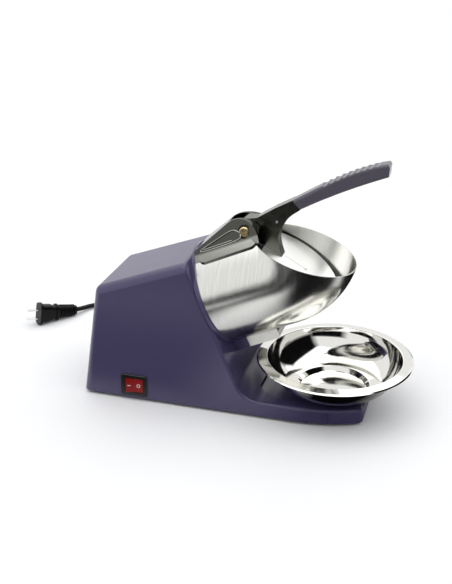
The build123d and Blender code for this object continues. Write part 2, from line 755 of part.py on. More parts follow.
def makeRivets():
    """Rivets through the drum into the bracket's feet, heads inside the drum."""
    head = Pos(0, 0, drumInner) * Cylinder(3.0, 2.4) & rod(drumInner, -9, 9)
    end = drumRadius + footThick - 0.5
    shank = Pos(0, 0, (drumInner - 0.5 + end) / 2) * Cylinder(rivetRadius, end - drumInner + 0.5)
    rivets = [s for at in rivetPlaces() for s in (drumFrame * at * (head + shank)).solids()]
    return Compound(children=rivets)


def makePivotBolt():
    bolt = Pos(0, -boltSeat, 0) * Rot(90, 0, 0) * screw(5.8, 3.2, boltRadius, 2 * boltSeat + 5.5)
    return drumFrame * Pos(pivotU, 0, pivotW) * bolt


def makePivotNut():
    nut = Pos(0, boltSeat, 0) * Rot(-90, 0, 0) * extrude(RegularPolygon(5.6, 6), amount=4.6)
    nut -= Rot(90, 0, 0) * Cylinder(boltRadius, 200)
    return drumFrame * Pos(pivotU, 0, pivotW) * nut


# ---- Lever: its own frame stands at the pivot, X forward and Z up ----
def pivotPoint():
    spot = (drumFrame * Pos(pivotU, 0, pivotW)).position
    return spot.X, spot.Z


def plateSpot(along, rise):
    """Point of the lever's side view, measured along and above the resting plate."""
    fall = math.radians(plateDrop)
    return (
        along * math.cos(fall) + rise * math.sin(fall),
        -along * math.sin(fall) + rise * math.cos(fall),
    )


def tangOutline():
    return polygon([(50, 34.5), (102, 61), (143, 78.5), (144.5, 71.5), (102, 54), (56, 30)])


def makeArm():
    heel = plateSpot(18, -plateOffset)
    toe = plateSpot(50.5, -plateOffset)
    gripTop = (50.6, 36.6)
    gripFoot = (60.0, 26.5)
    belly = Spline(
        gripFoot, (47.8, 16.7), (40.1, 5.3), (35.9, -4.6), (35.5, -14.1), toe, tangents=[(-1, -0.8), (0.35, -1)]
    )
    edges = Polyline((0, hubRadius - 0.5), (10.3, 12.2), (30.6, 25.4), gripTop, gripFoot).edges() + belly.edges()
    edges += Polyline(toe, heel, (10.5, 0), (0, hubRadius - 0.5)).edges()
    arm = crossRod(hubRadius, slotHalf - 0.4) + slab(make_face(edges), armHalf) + slab(tangOutline(), armHalf - 3)
    arm -= crossRod(boltRadius + runClearance, 50)
    for s in plateRivetPlaces:
        arm -= Rot(0, plateDrop, 0) * Pos(s, 0, -plateOffset) * Cylinder(2.0, 8)
    x, z = pivotPoint()
    return Pos(x, 0, z) * arm


def makeGrip():
    top = [(50.6, 36.6), (81, 55.3), (122, 76.7), (153.2, 86.6)]
    under = [(154.7, 71.9), (102, 48.8), (60.0, 26.5)]
    edges = Spline(*top).edges() + Polyline(top[-1], (155.4, 83), under[0]).edges()
    edges += Spline(*under).edges() + Line(under[-1], top[0]).edges()
    grip = slab(make_face(edges), gripHalf)
    longEdges = [e for e in grip.edges() if e.length > 80]
    grip = fillet(longEdges, 3.0)
    for index in range(scallops):
        along = index / (scallops - 1)
        x = 84 + along * 56
        z = 57.2 + along * 26.6 + 1.9 * math.sin(math.pi * along)
        grip -= crossRod(scallopRadius, 20, x, z + scallopRadius - 1.3)
    grip -= slab(tangOutline(), armHalf - 3)
    x, z = pivotPoint()
    return Pos(x, 0, z) * grip


def plateFrame():
    """Frame on the press plate's upper face: X along the plate, under the pivot."""
    x, z = pivotPoint()
    return Pos(x, 0, z) * Rot(0, plateDrop, 0) * Pos(0, 0, -plateOffset)


def makePlate():
    radius = drumRadius - drumWall - plateGap
    beyondHeel = Pos(plateHeel + 100, 0, 0) * Box(200, 200, 50)
    rimDepth = 2.5
    plate = Pos(plateReach, 0, -plateThick / 2) * Cylinder(radius, plateThick) & beyondHeel
    rim = Pos(plateReach, 0, -plateThick - rimDepth / 2) * Cylinder(radius, rimDepth)
    rim -= Pos(plateReach, 0, -plateThick) * Cylinder(radius - plateThick, 4 * rimDepth)
    plate += rim & beyondHeel
    plate += block((16, -armHalf, -plateThick), (plateHeel + 2, armHalf, 0))
    bead = Pos(66, 0, 0) * Rot(0, 90, 0) * Cylinder(1.0, 28)
    plate += bead & Pos(64, 0, 2) * Box(60, 6, 4)
    plate += Pos(80, 0, 0.5) * Cylinder(2.2, 2.4)
    for s in plateRivetPlaces:
        plate -= Pos(s, 0, 0) * Cylinder(2.0, 10)
    return plateFrame() * plate


def makePlateRivets():
    rivet = Pos(0, 0, -plateThick - 0.7) * Cylinder(3.4, 1.4) + Pos(0, 0, 1) * Cylinder(2.0, 6)
    rivets = [r for s in plateRivetPlaces for r in (plateFrame() * Pos(s, 0, 0) * rivet).solids()]
    return Compound(children=rivets)


# ---- Bowl ----
def makeBowl():
    """Spun bowl: sunk centre that drops into the tray, ring floor, flared wall and flat rim."""
    rimInner = bowlRim - 11.3
    ringRise = bowlHeight * 0.14
    foot = Polyline((0, 0), (bowlWell - 1, 0), (bowlWell, 1), (bowlWell + 3.5, ringRise), (58, bowlHeight * 0.19))
    flareFoot = (58, bowlHeight * 0.19)
    flare = ThreePointArc(flareFoot, (rimInner - 7, bowlHeight * 0.533), (rimInner, bowlHeight - 0.6))
    rim = Polyline((rimInner, bowlHeight - 0.6), (bowlRim - 1.4, bowlHeight - 1.6), (bowlRim, bowlHeight - 2.8))
    under = Wire([*foot.edges(), *flare.edges(), *rim.edges()])
    sheet = make_face(offset(under, bowlWall, side=Side.LEFT).edges())
    return Pos(bowlX, 0, wellZ + fitGap) * revolve(Plane.XZ * sheet, Axis.Z)


# ---- Switch ----
def switchPlane():
    """On the near side wall: X forward, Y up the wall, Z outwards."""
    lean = math.radians(sideLean)
    return Plane(
        origin=(switchX, -halfWidthAt(switchZ), switchZ),
        x_dir=(1, 0, 0),
        z_dir=(0, -math.cos(lean), math.sin(lean)),
    ).location


def rockerPins():
    return Rot(90, 0, 0) * Cylinder(1.5, 2 * rockerHigh + 2.4)


def makeSwitchBody():
    bezel = Pos(0, 0, bezelThick / 2) * Box(2 * bezelHalf, 2 * bezelHigh, bezelThick)
    bezel = fillet(bezel.edges().filter_by(Axis.Z), 2.5)
    bezel = chamfer(bezel.faces().sort_by(Axis.Z)[-1].edges(), 0.6)
    body = bezel + Pos(0, 0, -switchDepth / 2) * Box(2 * switchBodyHalf, 2 * switchBodyHigh, switchDepth)
    opening = 2 * (rockerHigh + 0.3)
    cavity = rockerPivot + rockerRadius + 1
    body -= Pos(0, 0, -1) * Box(2 * (rockerRadius - 0.3), opening, 8)
    body -= Pos(0, 0, -cavity / 2) * Box(2 * (rockerRadius + 0.4), opening, cavity)
    body -= Pos(0, 0, -rockerPivot) * Rot(90, 0, 0) * Cylinder(1.5 + runClearance, 2 * rockerHigh + 2.8)
    for at in terminalPlaces():
        body -= at * Box(4.8, 0.8, 7)
    return switchPlane() * body


def makeRocker():
    """Drum-shaped rocker with a shallow V in its face, lying on its OFF side."""
    form = Rot(90, 0, 0) * Cylinder(rockerRadius, 2 * rockerHigh)
    slope = math.tan(math.radians(rockerVee))
    valley = rockerPivot + 1.2
    reach = 2 * rockerRadius
    low = -rockerRadius * 0.5
    face = [(0, valley), (reach, valley + reach * slope), (reach, low), (-reach, low)]
    face.append((-reach, valley + reach * slope))
    form &= slab(polygon(face), 30)
    form += rockerPins()
    return switchPlane() * Pos(0, 0, -rockerPivot) * Rot(0, rockerTilt, 0) * form


def terminalPlaces():
    return [Pos(x, y, -switchDepth) for x in (-7, 7) for y in (-5, 5)]


def makeTerminals():
    tab = Pos(0, 0, -3) * Box(4.8, 0.8, 13)
    hole = Pos(0, 0, -6) * Rot(90, 0, 0) * Cylinder(0.9, 4)
    return Compound(children=[s for at in terminalPlaces() for s in (switchPlane() * at * (tab - hole)).solids()])


# ---- Cord ----
def glandFrame():
    """Where the cord leaves: Z outwards along the cord, which falls a little."""
    droop = math.radians(cordDroop)
    return Plane(
        origin=(cordExitX, halfWidthAt(cordExitZ), cordExitZ),
        x_dir=(1, 0, 0),
        z_dir=(0, math.cos(droop), -math.sin(droop)),
    ).location


def makeGland():
    """Strain relief: neck through the wall, collar, and a ribbed taper."""
    gland = Pos(0, 0, 1.0) * Cylinder(8, 4) + Pos(0, 0, glandLength / 2) * Cone(6.4, cordRadius + 1.0, glandLength)
    for z in range(6, int(glandLength), 4):
        gland += Pos(0, 0, z) * Cylinder(6.9 - z * 0.09, 1.6)
    gland -= glandFrame().inverse() * outerForm()
    gland += Pos(0, 0, -2) * Cylinder(glandNeck, 8) + Pos(0, 0, -6) * Cylinder(glandNeck + 1.4, 2)
    return glandFrame() * (gland - Cylinder(cordRadius, 4 * glandLength))


def cordTube(points):
    """Straight runs joined by tangent arcs, each as large as its two runs allow."""
    spots = [Vector(*p) for p in points]
    runs = [(b - a) for a, b in zip(spots, spots[1:])]
    radii = []
    for before, after in zip(runs, runs[1:]):
        turn = math.radians(before.get_angle(after))
        radii.append(0.45 * min(before.length, after.length) / math.tan(turn / 2))
    print("cord radii", [round(r, 1) for r in radii])
    path = FilletPolyline(*points, radius=radii)
    section = Plane(origin=path @ 0, z_dir=path % 0) * Circle(cordRadius)
    tube = sweep(section, path=path)
    ratio = tube.volume / (math.pi * cordRadius**2 * path.length)
    print("cord length", round(path.length, 1), "volume ratio", round(ratio, 4))
    return tube


def leadPoints():
    """From the gland down to the table and into the coil."""
    spot = (glandFrame() * Pos(0, 0, glandLength)).position
    return [
        (spot.X, spot.Y, spot.Z),
        (spot.X, spot.Y + 16, spot.Z - 2.6),
        (spot.X + 2, spot.Y + 32, 8.2),
        (coilX + coilRadius + cordRadius, coilY + 1, cordRadius + 0.1),
    ]


def tailPoints():
    """From the coil round to the plug."""
    return [
        (coilX, coilY + coilRadius + cordRadius, 3 * cordRadius),
        (-21, 180, 7.2),
        (-42, 181.5, 3.8),
        (-61, 179.5, 3.3),
        (-77, 172.5, 3.5),
        (-88.2, 160.6, 4.2),
        (-94.6, 144.6, 6.2),
        (-101.1, 134.2, 8.1),
    ]


def makeLead():
    return Compound(children=[s for p in (leadPoints(), tailPoints()) for s in cordTube(p).solids()])


def makeCoil():
    """The put-away length: turns side by side and in layers, as one ring."""
    depth = coilTurns * 2 * cordRadius
    ring = Cylinder(coilRadius + depth / 2, depth) - Cylinder(coilRadius - depth / 2, 2 * depth)
    ring = fillet(ring.edges().filter_by(GeomType.CIRCLE), cordRadius * 0.8)
    return Pos(coilX, coilY, depth / 2) * ring


# ---- Plug, in its own frame: Z from the face back to the cord ----
def plugPlane():
    axis = Vector(*plugRear) - Vector(*plugFace)
    return Plane(origin=plugFace, x_dir=(axis.Y, -axis.X, 0), z_dir=axis).location


def makePlugBody():
    def level(z, width, height):
        return Pos(0, 0, z) * RectangleRounded(width, height, min(width, height) * 0.36)

    body = extrude(level(0, 17, 31), amount=4)
    body += loft([level(4, 15.6, 26.4), level(17, 15, 24)])
    body += loft([level(17, 15, 24), level(22, 13.6, 20)])
    body += extrude(level(22, 13.6, 20), amount=3) + extrude(level(25, 15.6, 22.6), amount=3)
    body += loft([level(28, 13, 17), level(57, 10.4, 12.6)])
    for z in range(32, 56, 4):
        body += extrude(level(z, 15 - z * 0.05, 20.4 - z * 0.1), amount=1.8)
    for side in (1, -1):
        body -= Pos(0, side * 6.35, 0) * Box(6.3, 1.5, 18)
    body -= Pos(0, 0, 57) * Cylinder(cordRadius, 14)
    return plugPlane() * body


def makePlugBlades():
    blades = []
    for side in (1, -1):
        blade = Pos(0, side * 6.35, -4) * Box(6.3, 1.5, 26)
        blade = chamfer(blade.edges().filter_by(Axis.X).group_by(Axis.Z)[0], 0.5)
        blade -= Pos(0, side * 6.35, -13.5) * Rot(90, 0, 0) * Cylinder(1.5, 4)
        blades += (plugPlane() * blade).solids()
    return Compound(children=blades)


bearingFront = -chamberDepth
bearingRear = motorEnd - bearingWidth
nodes = {
    "housing_shell": makeHousing,
    "base_plate": makeBasePlate,
    "base_screws": lambda: underScrews(postPlaces, basePlateZ, 3.0, postHole, baseScrewLength),
    "rubber_feet": makeFeet,
    "foot_screws": lambda: underScrews(footPlaces, footScrewSink, 2.6, footScrew, footScrewLength),
    "switch_body": makeSwitchBody,
    "switch_rocker": makeRocker,
    "switch_terminals": makeTerminals,
    "motor_can": makeMotorCan,
    "motor_stator": makeStator,
    "motor_front_bell": makeFrontBell,
    "motor_rear_bell": makeRearBell,
    "motor_screws": makeMotorScrews,
    "front_bearing": lambda: makeBearing(bearingFront),
    "rear_bearing": lambda: makeBearing(bearingRear),
    "shaft_seal": makeSeal,
    "cutting_chamber": makeChamber,
    "rotor_shaft": makeShaft,
    "armature": makeArmature,
    "cooling_fan": makeFan,
    "blade_disc": makeDisc,
    "shaving_blades": makeBlades,
    "blade_screws": makeBladeScrews,
    "ice_paddles": makePaddles,
    "hub_nut": makeHubNut,
    "hopper_drum": makeDrum,
    "drum_screws": makeDrumScrews,
    "ice_hood": makeHood,
    "hood_screws": makeHoodScrews,
    "lever_bracket": makeBracket,
    "bracket_rivets": makeRivets,
    "pivot_bolt": makePivotBolt,
    "pivot_nut": makePivotNut,
    "lever_arm": makeArm,
    "lever_grip": makeGrip,
    "press_plate": makePlate,
    "plate_rivets": makePlateRivets,
    "bowl": makeBowl,
    "cord_gland": makeGland,
    "cord_lead": makeLead,
    "cord_coil": makeCoil,
    "plug_body": makePlugBody,
    "plug_blades": makePlugBlades,
}

os.makedirs("parts", exist_ok=True)
for name, make in nodes.items():
    solids = [Pos(frameX, 0, 0) * solid for solid in make().solids()]
    part = Compound(children=solids) if len(solids) > 1 else solids[0]
    print(name, len(solids), [s.is_valid for s in solids].count(False), round(part.volume))
    export_step(part, f"parts/{name}.step")
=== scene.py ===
import math

import bpy
from mathutils import Euler, Matrix, Vector


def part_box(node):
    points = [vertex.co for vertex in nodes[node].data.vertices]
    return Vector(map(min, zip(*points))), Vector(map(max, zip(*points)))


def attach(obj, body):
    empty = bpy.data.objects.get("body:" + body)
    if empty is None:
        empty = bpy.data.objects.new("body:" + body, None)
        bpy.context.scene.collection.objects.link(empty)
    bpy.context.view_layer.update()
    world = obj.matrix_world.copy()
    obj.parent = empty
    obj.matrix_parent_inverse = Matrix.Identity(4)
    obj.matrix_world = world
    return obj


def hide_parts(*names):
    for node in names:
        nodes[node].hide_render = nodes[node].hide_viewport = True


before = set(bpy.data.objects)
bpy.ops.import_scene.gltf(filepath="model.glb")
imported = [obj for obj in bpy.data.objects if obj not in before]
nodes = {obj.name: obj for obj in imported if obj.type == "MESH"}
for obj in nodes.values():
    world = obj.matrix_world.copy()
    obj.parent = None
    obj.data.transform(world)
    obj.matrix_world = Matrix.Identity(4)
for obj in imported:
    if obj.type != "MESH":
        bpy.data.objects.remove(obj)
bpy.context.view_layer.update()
print("frame loaded:", len(nodes), "nodes")

# Places are measured in millimetres from the heel, as in the part's source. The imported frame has
# its origin under the middle of the machine, so along X they are moved by this much, in metres.
heelShift = -0.195043
mm = 0.001

# The drum, and with it the bracket and the lever, leans back on this frame: u along its axis
# from the joint face, v across and w upwards, in millimetres. The lean is in degrees.
drumFrame = {"x": 158.6, "z": 127.4, "radius": 61.5, "lean": 24.5}


def framePoint(x, y, z):
    return Vector((x * mm + heelShift, y * mm, z * mm))


def drumPoint(u, v, w):
    lean = math.radians(drumFrame["lean"])
    x = drumFrame["x"] + u * math.cos(lean) - w * math.sin(lean)
    z = drumFrame["z"] + u * math.sin(lean) + w * math.cos(lean)
    return framePoint(x, v, z)


def fromHex(code):
    channels = [int(code[i:i + 2], 16) / 255 for i in (1, 3, 5)]
    return [c / 12.92 if c <= 0.04045 else ((c + 0.055) / 1.055) ** 2.4 for c in channels] + [1]


def clearSelection():
    for thing in bpy.context.selected_objects:
        thing.select_set(False)
    bpy.context.view_layer.objects.active = None


def activate(thing):
    clearSelection()
    thing.select_set(True)
    bpy.context.view_layer.objects.active = thing


def settle(thing):
    # a finished piece keeps its place in its mesh
    activate(thing)
    bpy.ops.object.transform_apply(location=True, rotation=True, scale=True)


def applyModifiers(thing):
    activate(thing)
    for modifier in list(thing.modifiers):
        bpy.ops.object.modifier_apply(modifier=modifier.name)


# camera
cameraSetting = {
    "place": (0.27552, -1.03671, 0.60385),
    "target": (-0.03124, 0, 0.1284),
    "lens": 61.64,
    "sensor": 36,
    "shiftY": -0.0034,
}
clearSelection()
bpy.ops.object.camera_add(location=cameraSetting["place"])
camera = bpy.context.object
camera.name = "camera"
aim = Vector(cameraSetting["target"]) - Vector(cameraSetting["place"])
camera.rotation_euler = aim.to_track_quat("-Z", "Y").to_euler()
camera.data.lens = cameraSetting["lens"]
camera.data.sensor_width = cameraSetting["sensor"]
camera.data.shift_y = cameraSetting["shiftY"]
bpy.context.scene.camera = camera
print("camera placed")

# The mains cord leaves the gland, lies in a flat coil and ends in the plug.
cordSetting = {
    "radius": 3.2,
    "coilCentre": (-2, 135),
    "coilRadius": 36,
    "pointsPerTurn": 24,
    "fullTurns": 3,
    "shiftArc": 40,     # degrees in which a turn moves to its next place
    "length": 0.898,    # metres, along the middle of the cord
}
leadPoints = [
    (35, 87.434, 18.146),
    (35, 103.434, 15.546),
    (37, 119.434, 8.2),
]
tailPoints = [
    (-21, 180, 7.2),
    (-42, 181.5, 3.8),
    (-61, 179.5, 3.3),
    (-77, 172.5, 3.5),
    (-88.2, 160.6, 4.2),
    (-94.6, 144.6, 6.2),
    (-101.1, 134.2, 8.1),
]


def coilPoints(setting):
    # Four places in the coil's section: outer low, inner low, inner high, outer high. Each turn
    # moves on to the next place just before the right side, the topmost turn first.
    r = setting["radius"]
    middle = setting["coilRadius"]
    places = [(middle + r, r), (middle - r, r), (middle - r, 3 * r), (middle + r, 3 * r)]
    per = setting["pointsPerTurn"]
    arc = setting["shiftArc"]
    points = []
    for step in range(setting["fullTurns"] * per + per // 4 + 1):
        turn = step // per
        angle = 360 * (step % per) / per
        radius, height = places[turn]
        if turn < setting["fullTurns"]:
            begin = 360 - arc * (turn + 1)
            share = min(max((angle - begin) / arc, 0), 1)
            share = share * share * (3 - 2 * share)
            radius += (places[turn + 1][0] - radius) * share
            height += (places[turn + 1][1] - height) * share
        x = setting["coilCentre"][0] + radius * math.cos(math.radians(angle))
        y = setting["coilCentre"][1] + radius * math.sin(math.radians(angle))
        points.append((x, y, height))
    return points


cordRoute = leadPoints + coilPoints(cordSetting) + tailPoints
cordCurve = bpy.data.curves.new("mains_cord", "CURVE")
cordCurve.dimensions = "3D"
cordLine = cordCurve.splines.new("NURBS")
cordLine.points.add(len(cordRoute) - 1)
for point, place in zip(cordLine.points, cordRoute):
    point.co = (*framePoint(*place), 1)
cordLine.order_u = 3
cordLine.use_endpoint_u = True
cordLine.resolution_u = 6
cordCurve.bevel_depth = cordSetting["radius"] * mm
cordCurve.bevel_resolution = 6
cordCurve.use_fill_caps = True
mainsCord = bpy.data.objects.new("mains_cord", cordCurve)
bpy.context.scene.collection.objects.link(mainsCord)
print("cord laid:", len(cordRoute), "points")


# materials
def addNode(tree, kind, settings=None, links=()):
    node = tree.nodes.new(kind)
    for name, value in (settings or {}).items():
        if hasattr(node, name):
            setattr(node, name, value)
        else:
            node.inputs[name].default_value = value
    for source, target in links:
        tree.links.new(source, node.inputs[target])
    return node


def startMaterial(name, surface):
    material = bpy.data.materials.new(name)
    material.use_nodes = True
    shader = material.node_tree.nodes["Principled BSDF"]
    for socket, value in surface.items():
        shader.inputs[socket].default_value = value
    return material, material.node_tree, shader


def perMetre(millimetres):
    return 1000 / millimetres


# What all plastics and all metals share: the depth of the pattern at full strength, in metres,
# and how far its lows and highs take the roughness from its mean.
plasticSetting = {"ior": 1.54, "depth": 0.0002, "smoothest": 0.85, "roughest": 1.2}
metalSetting = {"depth": 0.00002, "smoothest": 0.7, "roughest": 1.35, "streakFrom": 0.35,
                "streakTo": 0.65}


def mouldedPlastic(name, look):
    # Injection-moulded, polished tool: a gloss with the slight ripple of shrinkage.
    material, tree, shader = startMaterial(name, {
        "Base Color": fromHex(look["colour"]),
        "Roughness": look["roughness"],
        "IOR": look.get("ior", plasticSetting["ior"]),
    })
    place = addNode(tree, "ShaderNodeTexCoord")
    ripple = addNode(tree, "ShaderNodeTexNoise", {
        "Scale": perMetre(look["rippleMm"]), "Detail": 2.0, "Roughness": 0.5,
    }, [(place.outputs["Object"], "Vector")])
    bump = addNode(tree, "ShaderNodeBump", {
        "Strength": look["ripple"], "Distance": plasticSetting["depth"],
    }, [(ripple.outputs["Fac"], "Height")])
    sheen = addNode(tree, "ShaderNodeMapRange", {
        "To Min": look["roughness"] * plasticSetting["smoothest"],
        "To Max": look["roughness"] * plasticSetting["roughest"],
    }, [(ripple.outputs["Fac"], "Value")])
    tree.links.new(sheen.outputs["Result"], shader.inputs["Roughness"])
    tree.links.new(bump.outputs["Normal"], shader.inputs["Normal"])
    return material


def brushedMetal(name, look):
    # Rolled, cast or ground metal. The real grain is too fine to show, so it is drawn as coarse
    # as it needs: a slight change of gloss, in long narrow lines where the metal is brushed.
    material, tree, shader = startMaterial(name, {
        "Base Color": fromHex(look["colour"]),
        "Metallic": 1.0,
        "Roughness": look["roughness"],
    })
    place = addNode(tree, "ShaderNodeTexCoord")
    turned = addNode(tree, "ShaderNodeMapping", {
        "Rotation": Euler([math.radians(a) for a in look.get("turn", (0, 0, 0))]),
        "Scale": [perMetre(s) for s in look["grainMm"]],
    }, [(place.outputs["Object"], "Vector")])
    grain = addNode(tree, "ShaderNodeTexNoise", {
        "Scale": 1.0, "Detail": 3.0, "Roughness": 0.6,
    }, [(turned.outputs["Vector"], "Vector")])
    polish = addNode(tree, "ShaderNodeMapRange", {
        "To Min": look["roughness"] * metalSetting["smoothest"],
        "To Max": look["roughness"] * metalSetting["roughest"],
    }, [(grain.outputs["Fac"], "Value")])
    bump = addNode(tree, "ShaderNodeBump", {
        "Strength": look["relief"], "Distance": metalSetting["depth"],
    }, [(grain.outputs["Fac"], "Height")])
    tree.links.new(polish.outputs["Result"], shader.inputs["Roughness"])
    tree.links.new(bump.outputs["Normal"], shader.inputs["Normal"])
    if "streak" in look:
        # The belt's lines, drawn coarser than real ones: the colour goes from dulled to full
        # between two levels of the grain.
        dulling = addNode(tree, "ShaderNodeMapRange", {
            "From Min": metalSetting["streakFrom"], "From Max": metalSetting["streakTo"],
            "To Min": 1 - look["streak"],
        }, [(grain.outputs["Fac"], "Value")])
        lines = addNode(tree, "ShaderNodeHueSaturation", {"Color": fromHex(look["colour"])},
                        [(dulling.outputs["Result"], "Value")])
        tree.links.new(lines.outputs["Color"], shader.inputs["Base Color"])
    return material


def paintedFootHighlight(material, foot):
    # Painted highlight on a casting's foot where it lies along the drum: close to the drum's axis
    # the colour is light, standing for light caught along the foot, and further out the cheeks
    # keep their dark polish.
    tree = material.node_tree
    shader = tree.nodes["Principled BSDF"]
    lean = math.radians(drumFrame["lean"])
    place = addNode(tree, "ShaderNodeTexCoord")
    fromAxis = addNode(tree, "ShaderNodeVectorMath", {"operation": "SUBTRACT"},
                       [(place.outputs["Object"], 0)])
    fromAxis.inputs[1].default_value = drumPoint(0, 0, 0)
    across = addNode(tree, "ShaderNodeVectorMath", {"operation": "CROSS_PRODUCT"},
                     [(fromAxis.outputs["Vector"], 0)])
    across.inputs[1].default_value = (math.cos(lean), 0, math.sin(lean))
    reach = addNode(tree, "ShaderNodeVectorMath", {"operation": "LENGTH"},
                    [(across.outputs["Vector"], 0)])
    share = addNode(tree, "ShaderNodeMapRange", {
        "From Min": foot["within"] * mm, "From Max": (foot["within"] + foot["fade"]) * mm,
    }, [(reach.outputs["Value"], "Value")])
    blend = addNode(tree, "ShaderNodeMix", {"data_type": "RGBA"},
                    [(share.outputs["Result"], "Factor")])
    blend.inputs["A"].default_value = fromHex(foot["colour"])
    blend.inputs["B"].default_value = shader.inputs["Base Color"].default_value[:]
    tree.links.new(blend.outputs["Result"], shader.inputs["Base Color"])


plasticLooks = {
    # deep violet with a broad, soft gloss
    "glossyPurpleAbs": {"colour": "#443e60", "roughness": 0.24, "rippleMm": 12, "ripple": 0.03},
    # near black and dull, under the machine and in the chamber
    "darkBaseAbs": {"colour": "#24222b", "roughness": 0.42, "rippleMm": 4, "ripple": 0.05},
    # greyer violet, polished by hands, bright along its top
    "gripAbs": {"colour": "#55515d", "roughness": 0.2, "rippleMm": 12, "ripple": 0.02},
    # plain black bezel
    "blackNylonSwitch": {"colour": "#0a0a0c", "roughness": 0.3, "rippleMm": 3, "ripple": 0.05},
    # dark, glossy red, as a rocker with its lamp out
    "redPolycarbonateRocker": {
        "colour": "#86070b", "roughness": 0.2, "rippleMm": 6, "ripple": 0.03, "ior": 1.45},
    # dull grey, seen at most through the vents
    "greyNylonFan": {"colour": "#3c3d40", "roughness": 0.5, "rippleMm": 2, "ripple": 0.1},
    # soft black with hardly a highlight
    "blackPvcCord": {
        "colour": "#0e0e0f", "roughness": 0.5, "rippleMm": 3, "ripple": 0.08, "ior": 1.33},
    # deeper black, with a little light on each rib
    "blackPvcPlug": {
        "colour": "#050506", "roughness": 0.32, "rippleMm": 5, "ripple": 0.05, "ior": 1.3},
    # dry, grainy black; the grain is drawn coarser than it is, to show
    "blackNitrileRubber": {
        "colour": "#161617", "roughness": 0.7, "rippleMm": 1.5, "ripple": 0.15},
    # flat white print
    "whiteMarkInk": {"colour": "#f2f0ea", "roughness": 0.5, "rippleMm": 2, "ripple": 0.02},
}
metalLooks = {
    # light steel with belt lines round the drum, mirroring the room in broad bands
    "brushedDrumStainless": {
        "colour": "#e2e2dd", "roughness": 0.2, "grainMm": (1.4, 40, 40), "relief": 0.3,
        "turn": (0, -drumFrame["lean"], 0), "streak": 0.09},
    # sharp black and white mirror
    "mirrorBowlStainless": {
        "colour": "#e6e5e1", "roughness": 0.06, "grainMm": (6, 6, 6), "relief": 0.03},
    # pale and satin, nearly white under the top light
    "polishedPlateStainless": {
        "colour": "#f2f2f0", "roughness": 0.42, "grainMm": (20, 0.6, 20), "relief": 0.05},
    # a little greyer than the drum
    "brushedHoodStainless": {
        "colour": "#cfcec9", "roughness": 0.24, "grainMm": (20, 0.5, 20), "relief": 0.1},
    # finely ground, light grey face of the disc
    "groundDiscStainless": {
        "colour": "#c4c4c0", "roughness": 0.25, "grainMm": (0.6, 0.6, 20), "relief": 0.1},
    # grey casting that mirrors the dark table
    "polishedLeverCasting": {
        "colour": "#76776f", "roughness": 0.22, "grainMm": (8, 8, 8), "relief": 0.04},
    # dark cheeks of the bracket, with a glint along each edge
    "polishedBracketCasting": {
        "colour": "#4d4e49", "roughness": 0.17, "grainMm": (8, 8, 8), "relief": 0.04},
    # thin lines on the cheeks: their round shape catches real light, and their colour,
    # lighter than the casting, is a painted highlight
    "paintedHighlightBead": {
        "colour": "#cfcfca", "roughness": 0.14, "grainMm": (6, 6, 6), "relief": 0.03},
    # small light dots
    "zincScrewSteel": {
        "colour": "#c3c5c6", "roughness": 0.26, "grainMm": (1, 1, 1), "relief": 0.05},
    # cool grey edge on the disc
    "hardenedBladeSteel": {
        "colour": "#b8bbbd", "roughness": 0.16, "grainMm": (12, 0.4, 12), "relief": 0.08},
    # warm yellow head of the pivot bolt
    "turnedBrass": {
        "colour": "#e2cf9f", "roughness": 0.26, "grainMm": (0.4, 5, 0.4), "relief": 0.05},
    # pale brass tabs behind the switch
    "nickelBrassTerminal": {
        "colour": "#d9cfa8", "roughness": 0.25, "grainMm": (4, 4, 0.5), "relief": 0.05},
    # cool grey can
    "zincPlatedMotorSteel": {
        "colour": "#9ea3a6", "roughness": 0.35, "grainMm": (3, 3, 3), "relief": 0.06},
    # dark layered iron
    "laminatedSteel": {
        "colour": "#6c6e72", "roughness": 0.45, "grainMm": (0.5, 9, 9), "relief": 0.2},
    # matt cast grey
    "castBellAluminium": {
        "colour": "#aeb0b0", "roughness": 0.5, "grainMm": (1, 1, 1), "relief": 0.25},
    # bright ground rings
    "bearingChromeSteel": {
        "colour": "#c2c4c8", "roughness": 0.12, "grainMm": (3, 3, 3), "relief": 0.02},
    # nearly white blades
    "nickelPlugBlade": {
        "colour": "#efeee9", "roughness": 0.18, "grainMm": (10, 10, 0.6), "relief": 0.04},
}
materials = {}
for name, look in plasticLooks.items():
    materials[name] = mouldedPlastic(name, look)
for name, look in metalLooks.items():
    materials[name] = brushedMetal(name, look)
# painted highlight: the bracket's foot takes a lighter colour within this reach of the drum's axis
bracketFootHighlight = {"colour": "#8c8d87", "within": 64.2, "fade": 1.0}     # from the drum's axis
paintedFootHighlight(materials["polishedBracketCasting"], bracketFootHighlight)

nodeFinishes = {
    "glossyPurpleAbs": ["housing_shell"],
    "darkBaseAbs": ["base_plate", "cutting_chamber", "shaft_seal"],
    "gripAbs": ["lever_grip"],
    "blackNylonSwitch": ["switch_body"],
    "redPolycarbonateRocker": ["switch_rocker"],
    "greyNylonFan": ["cooling_fan"],
    "blackPvcCord": ["cord_gland", "cord_lead", "cord_coil"],
    "blackPvcPlug": ["plug_body"],
    "blackNitrileRubber": ["rubber_feet"],
    "brushedDrumStainless": ["hopper_drum"],
    "mirrorBowlStainless": ["bowl"],
    "polishedPlateStainless": ["press_plate"],
    "brushedHoodStainless": ["ice_hood"],
    "groundDiscStainless": ["blade_disc", "ice_paddles"],
    "polishedBracketCasting": ["lever_bracket"],
    "polishedLeverCasting": ["lever_arm", "bracket_rivets", "plate_rivets", "pivot_nut"],
    "zincScrewSteel": ["base_screws", "foot_screws", "motor_screws", "blade_screws", "drum_screws",
                       "hood_screws", "hub_nut"],
    "hardenedBladeSteel": ["shaving_blades", "rotor_shaft"],
    "turnedBrass": ["pivot_bolt"],
    "nickelBrassTerminal": ["switch_terminals"],
    "zincPlatedMotorSteel": ["motor_can"],
    "laminatedSteel": ["motor_stator", "armature"],
    "castBellAluminium": ["motor_front_bell", "motor_rear_bell"],
    "bearingChromeSteel": ["front_bearing", "rear_bearing"],
    "nickelPlugBlade": ["plug_blades"],
}
